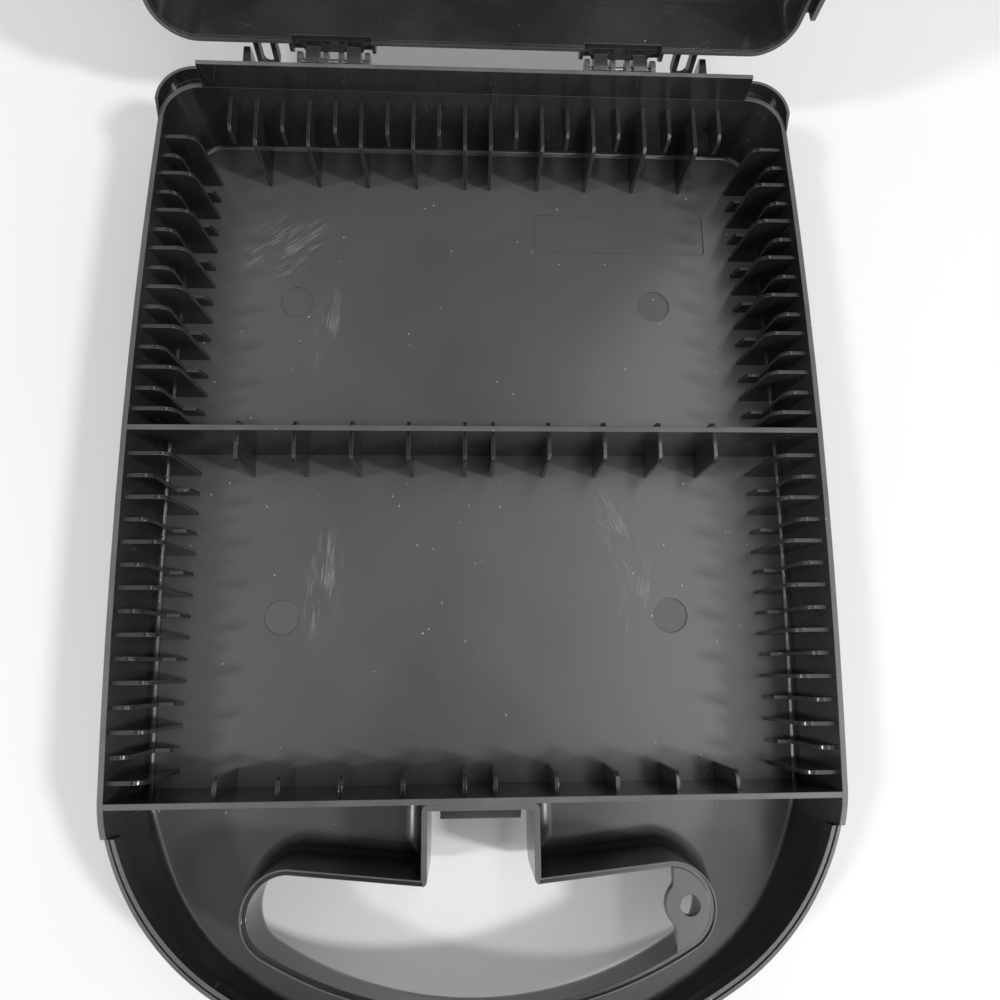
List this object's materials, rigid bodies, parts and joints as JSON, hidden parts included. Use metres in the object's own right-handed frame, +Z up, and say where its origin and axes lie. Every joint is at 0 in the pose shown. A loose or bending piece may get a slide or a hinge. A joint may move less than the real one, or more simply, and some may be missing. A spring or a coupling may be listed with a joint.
{
  "type": "plastic storage organizer case",
  "caption": "Carrying case for small parts: a ribbed two-compartment tray, a lid on two pinned hinges, a latch and a moulded handle.",
  "frame": {"origin": "on the flat underside of the tray that the case rests on, below the middle of the centre divider", "axes": "+X to the right seen from the handle, +Y from the handle towards the hinges, +Z up out of the tray"},
  "size_m": [0.2308, 0.3885, 0.3526],
  "materials": {
    "case_plastic": "satin black moulded plastic with fine scratches",
    "pin_steel": "plain steel pin"
  },
  "bodies": {
    "tray": {"tray_floor": "case_plastic", "tray_walls": "case_plastic", "tray_handle": "case_plastic", "back_lip": "case_plastic", "corner_guards": "case_plastic", "centre_divider": "case_plastic", "front_wall": "case_plastic", "left_rear_ribs": "case_plastic", "left_front_ribs": "case_plastic", "right_rear_ribs": "case_plastic", "right_front_ribs": "case_plastic", "back_ribs": "case_plastic", "divider_ribs": "case_plastic", "front_wall_ribs": "case_plastic", "tray_hinge_ears": "case_plastic", "tray_feet": "case_plastic", "tray_padlock_tab": "case_plastic", "latch_keeper": "case_plastic", "left_hinge_pin": "pin_steel", "right_hinge_pin": "pin_steel"},
    "lid": {"lid_panel": "case_plastic", "lid_walls": "case_plastic", "lid_handle": "case_plastic", "lid_side_skirts": "case_plastic", "lid_handle_skirt": "case_plastic", "left_lid_hinge": "case_plastic", "right_lid_hinge": "case_plastic", "lid_feet": "case_plastic", "lid_padlock_tab": "case_plastic", "latch_lugs": "case_plastic", "latch_pin": "pin_steel"},
    "latch": {"latch": "case_plastic"}
  },
  "joints": [
    {"name": "lid_hinge", "type": "hinge", "parent": "tray", "child": "lid", "pos_m": [0, 0.1365, 0.032], "axis": [-1, 0, 0], "range_deg": [-98, 0]},
    {"name": "latch_pivot", "type": "hinge", "parent": "lid", "child": "latch", "pos_m": [0, 0.1826, 0.28818], "axis": [-1, 0, 0], "range_deg": [-35, 0]}
  ]
}
